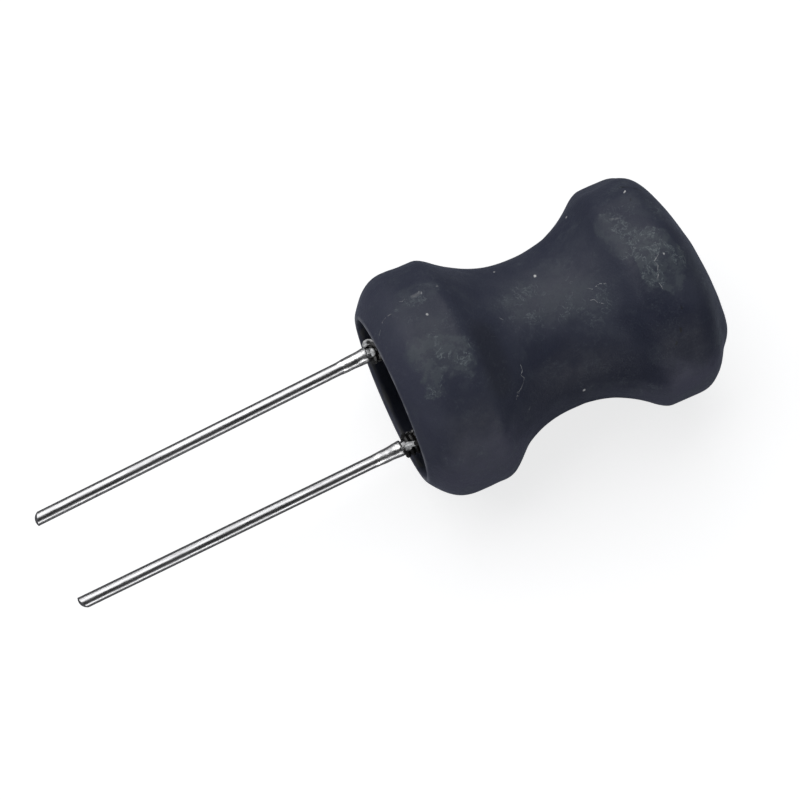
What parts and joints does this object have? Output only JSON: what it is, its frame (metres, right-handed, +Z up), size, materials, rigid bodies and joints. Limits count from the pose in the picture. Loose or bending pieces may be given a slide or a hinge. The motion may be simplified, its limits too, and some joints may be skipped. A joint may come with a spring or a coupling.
{
  "type": "power inductor",
  "caption": "Radial-leaded power inductor: a wound ferrite drum core in a black heat-shrink sleeve drawn into an hourglass, with two straight tinned pins.",
  "frame": {"origin": "on the ground, under the middle of the overall length, as the inductor lies on its side on its two flanges", "axes": "+X along the body's axis from the pins to the far end, +Z up, +Y to the side on which the raised pin lies"},
  "size_m": [0.0318, 0.0106, 0.0105],
  "materials": {
    "ferrite": "matt sintered ferrite",
    "copper_wire": "enamelled copper, tinned at the tails",
    "tinned_pin": "bright tinned wire, fine draw marks",
    "resin": "cured resin",
    "solder": "bright solder",
    "sleeve": "matt blue-black heat-shrink with a pale bloom"
  },
  "bodies": {
    "root": {"drum_core": "ferrite", "winding": "copper_wire", "lead_pin_a": "tinned_pin", "lead_pin_b": "tinned_pin", "epoxy_a": "resin", "epoxy_b": "resin", "solder_joint_a": "solder", "solder_joint_b": "solder", "shrink_sleeve": "sleeve"}
  },
  "joints": []
}
